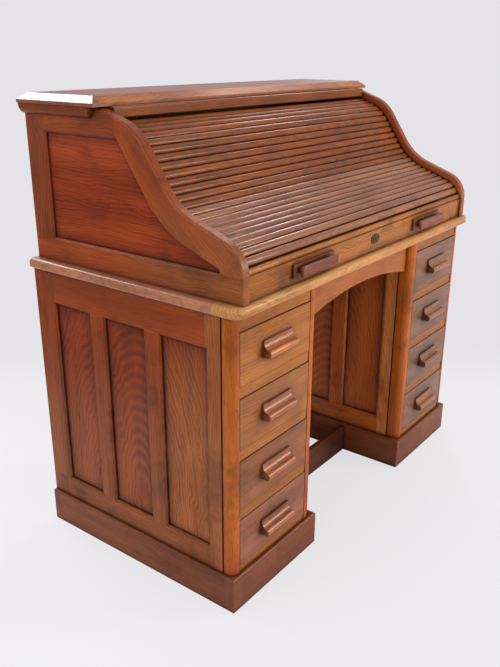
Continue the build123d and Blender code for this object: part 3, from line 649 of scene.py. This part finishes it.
brassValues = {"clean": "7a6244", "tarnish": "3e3022", "spotScale": 260.0,
               "spotLimits": (0.35, 0.65), "roughLimits": (0.3, 0.7, 0.25, 0.55),
               "bump": 0.15, "bumpDistance": 0.0002}


def agedBrass(name, values):
    material, tree, shader = newMaterial(name)
    spots = noise(tree, objectPlace(tree), values["spotScale"], 4.0, 0.6)
    body = blendColour(tree, ramp(tree, spots, *values["spotLimits"]),
                       colourOf(values["clean"]), colourOf(values["tarnish"]))
    feed(tree, shader.inputs["Base Color"], body)
    feed(tree, shader.inputs["Roughness"], ramp(tree, spots, *values["roughLimits"]))
    shader.inputs["Metallic"].default_value = 1.0
    bump = addNode(tree, "ShaderNodeBump", Strength=values["bump"],
                   Distance=values["bumpDistance"], Height=spots)
    feed(tree, shader.inputs["Normal"], bump.outputs[0])
    return material


dress(agedBrass("agedBrass", brassValues), "roll_lock")
print("roll and fittings dressed")

# floor and backdrop: one sheet that runs flat, then curves up behind; metres and degrees
sweepValues = {"front": -6.0, "bendStart": 2.6, "bendRadius": 2.4, "height": 6.0, "half": 9.0,
               "turn": 52.886, "rowsAlong": 64, "rowsAcross": 24}


def sweepSheet(values):
    # a profile of flat floor, quarter circle and upright wall carried sideways
    flat = values["bendStart"] - values["front"]
    radius = values["bendRadius"]
    arc = radius * math.pi / 2
    rise = values["height"] - radius
    s = np.linspace(0, flat + arc + rise, values["rowsAlong"])
    angle = np.clip((s - flat) / radius, 0, math.pi / 2)
    y = values["front"] + np.minimum(s, flat) + radius * np.sin(angle)
    z = radius * (1 - np.cos(angle)) + np.maximum(s - flat - arc, 0)
    x = np.linspace(-values["half"], values["half"], values["rowsAcross"])
    turn = math.radians(values["turn"])
    gx, gy = np.meshgrid(x, y)
    gz = np.repeat(z[:, None], len(x), axis=1)
    px = gx * math.cos(turn) + gy * math.sin(turn)
    py = -gx * math.sin(turn) + gy * math.cos(turn)
    return np.stack([px, py, gz], axis=-1)


def gridMesh(name, points):
    # faces between neighbouring grid points
    rows, cols = points.shape[:2]
    i = np.arange(rows - 1)[:, None] * cols + np.arange(cols - 1)[None, :]
    quads = np.stack([i, i + 1, i + 1 + cols, i + cols], axis=-1).reshape(-1, 4)
    mesh = bpy.data.meshes.new(name)
    mesh.from_pydata(points.reshape(-1, 3).tolist(), [], quads.tolist())
    mesh.polygons.foreach_set("use_smooth", np.ones(len(quads), bool))
    made = bpy.data.objects.new(name, mesh)
    bpy.context.scene.collection.objects.link(made)
    return made


# distances are metres behind the desk, in the direction of the view
paperValues = {
    "white": "e6e4e8", "whiteCloud": "eeedf0", "cloudScale": 1.3, "cloth": "8c8a8e", "rough": 0.75,
    "fanSlope": 0.36, "fanHalf": 1.25, "fanSoft": 0.8, "frontEdge": (-1.05, -1.8),
    "nearGlow": "f6f5f7", "farGlow": "e5e3e8", "awayLimits": (0.1, 1.2), "ringLimits": (2.2, 3.6),
    "nearShare": 0.72, "farExtra": 0.28,
}


def studioPaper(name, values, turn):
    material, tree, shader = newMaterial(name)
    where = objectPlace(tree)
    spot = splitVector(tree, turnVector(tree, where, "Z", math.radians(turn)))
    sideways, behind = spot[0], spot[1]
    # the white paper widens backwards like a fan; a grey floor lies beyond it
    fanEdge = calc(tree, "MULTIPLY_ADD", behind, values["fanSlope"], values["fanHalf"])
    past = calc(tree, "SUBTRACT", calc(tree, "ABSOLUTE", sideways), fanEdge)
    beyond = calc(tree, "MAXIMUM", ramp(tree, past, 0.0, values["fanSoft"]),
                  ramp(tree, behind, *values["frontEdge"]))
    cloud = noise(tree, where, values["cloudScale"], 3.0)
    white = blendColour(tree, cloud, colourOf(values["white"]), colourOf(values["whiteCloud"]))
    feed(tree, shader.inputs["Base Color"],
         blendColour(tree, beyond, white, colourOf(values["cloth"])))
    shader.inputs["Roughness"].default_value = values["rough"]
    # seen directly the paper glows evenly; near the desk it keeps most of the shadow
    path = addNode(tree, "ShaderNodeLightPath").outputs
    away = ramp(tree, behind, *values["awayLimits"])
    farOff = calc(tree, "MAXIMUM", away, ramp(tree, lengthOf(tree, where), *values["ringLimits"]))
    seen = calc(tree, "MULTIPLY_ADD", farOff, values["farExtra"], values["nearShare"])
    share = calc(tree, "MAXIMUM", calc(tree, "MULTIPLY", path["Is Camera Ray"], seen),
                 calc(tree, "MULTIPLY", path["Is Glossy Ray"], away))
    glow = addNode(tree, "ShaderNodeEmission", Strength=1.0, Color=blendColour(
        tree, farOff, colourOf(values["nearGlow"]), colourOf(values["farGlow"])))
    mixed = addNode(tree, "ShaderNodeMixShader")
    for socket, value in zip(mixed.inputs, (share, shader.outputs[0], glow.outputs[0])):
        feed(tree, socket, value)
    feed(tree, tree.nodes["Material Output"].inputs["Surface"], mixed.outputs[0])
    return material


sheet = gridMesh("paperSweep", sweepSheet(sweepValues))
sheet.data.materials.append(studioPaper("paperSweep", paperValues, sweepValues["turn"]))

# lamps: metres and watts
lamps = {
    "keyRight": {"from": (2.6, -3.4, 1.8), "to": (0, -0.2, 0.6), "size": (1.3, 1.3), "power": 75,
                 "tint": (1, 0.96, 0.91)},
    "frontLow": {"from": (-0.2, -3.8, 0.9), "to": (0, 0, 0.5), "size": (2.0, 1.2), "power": 32,
                 "tint": (1, 0.97, 0.93)},
    "fillLeft": {"from": (-3.6, 0.4, 2.4), "to": (0, 0, 0.7), "size": (2.4, 2.0), "power": 42,
                 "tint": (0.96, 0.97, 1)},
    # two slits of window light whose images lie on the low and on the upper slats
    "slitLow": {"from": (1.74, 0.57, 2.26), "to": (-0.3, -0.1, 0.95), "size": (0.08, 0.6),
                "power": 5, "tint": (0.97, 0.93, 1)},
    "slitHigh": {"from": (2.0, 1.0, 2.2), "to": (-0.3, 0.1, 1.12), "size": (0.08, 0.5),
                 "power": 5, "tint": (0.97, 0.93, 1)},
    # bright pane behind, mirrored in the bevel of the top board
    "panelBehind": {"from": (-0.3, 2.3, 2.9), "to": (-0.5, 0.1, 1.15), "size": (1.3, 0.9),
                    "power": 32, "tint": (1, 0.99, 1)},
}
for name, lamp in lamps.items():
    data = bpy.data.lights.new(name, "AREA")
    data.shape = "RECTANGLE"
    data.size, data.size_y = lamp["size"]
    data.energy = lamp["power"]
    data.color = lamp["tint"]
    light = bpy.data.objects.new(name, data)
    light.location = lamp["from"]
    aim = Vector(lamp["to"]) - Vector(lamp["from"])
    light.rotation_euler = aim.to_track_quat("-Z", "Y").to_euler()
    bpy.context.scene.collection.objects.link(light)

roomValues = {"light": (0.86, 0.87, 0.9, 1), "strength": 0.62}
world = bpy.data.worlds.new("paleRoom")
world.use_nodes = True
tree = world.node_tree
dim = tree.nodes["Background"]
dim.inputs["Color"].default_value = roomValues["light"]
dim.inputs["Strength"].default_value = roomValues["strength"]
# seen directly the room has the colour of the far backdrop
pale = addNode(tree, "ShaderNodeBackground", Color=colourOf(paperValues["farGlow"]), Strength=1.0)
chosen = addNode(tree, "ShaderNodeMixShader")
direct = addNode(tree, "ShaderNodeLightPath").outputs["Is Camera Ray"]
for socket, value in zip(chosen.inputs, (direct, dim.outputs[0], pale.outputs[0])):
    feed(tree, socket, value)
feed(tree, tree.nodes["World Output"].inputs["Surface"], chosen.outputs[0])
bpy.context.scene.world = world
bpy.context.scene.view_settings.view_transform = "Standard"

# camera: metres, degrees and millimetres of lens
cameraValues = {"place": (-1.73613, -1.21671, 1.27842), "azimuth": 52.886, "tilt": 20.884,
                "roll": 0.243, "lens": 53.54, "sensor": 36.0, "clipEnd": 60.0}
azimuth, tilt, roll = (math.radians(cameraValues[k]) for k in ("azimuth", "tilt", "roll"))
ahead = Vector((math.sin(azimuth) * math.cos(tilt), math.cos(azimuth) * math.cos(tilt),
                -math.sin(tilt)))
right = Vector((math.cos(azimuth), -math.sin(azimuth), 0))
upward = right.cross(ahead)
rightRolled = right * math.cos(roll) + upward * math.sin(roll)
upRolled = upward * math.cos(roll) - right * math.sin(roll)
turn = Matrix((rightRolled, upRolled, -ahead)).transposed()
cameraData = bpy.data.cameras.new("viewCamera")
cameraData.sensor_fit = "HORIZONTAL"
cameraData.sensor_width = cameraValues["sensor"]
cameraData.lens = cameraValues["lens"]
cameraData.clip_end = cameraValues["clipEnd"]
camera = bpy.data.objects.new("viewCamera", cameraData)
camera.matrix_world = Matrix.Translation(cameraValues["place"]) @ turn.to_4x4()
bpy.context.scene.collection.objects.link(camera)
bpy.context.scene.camera = camera
print("stage, light and camera set")
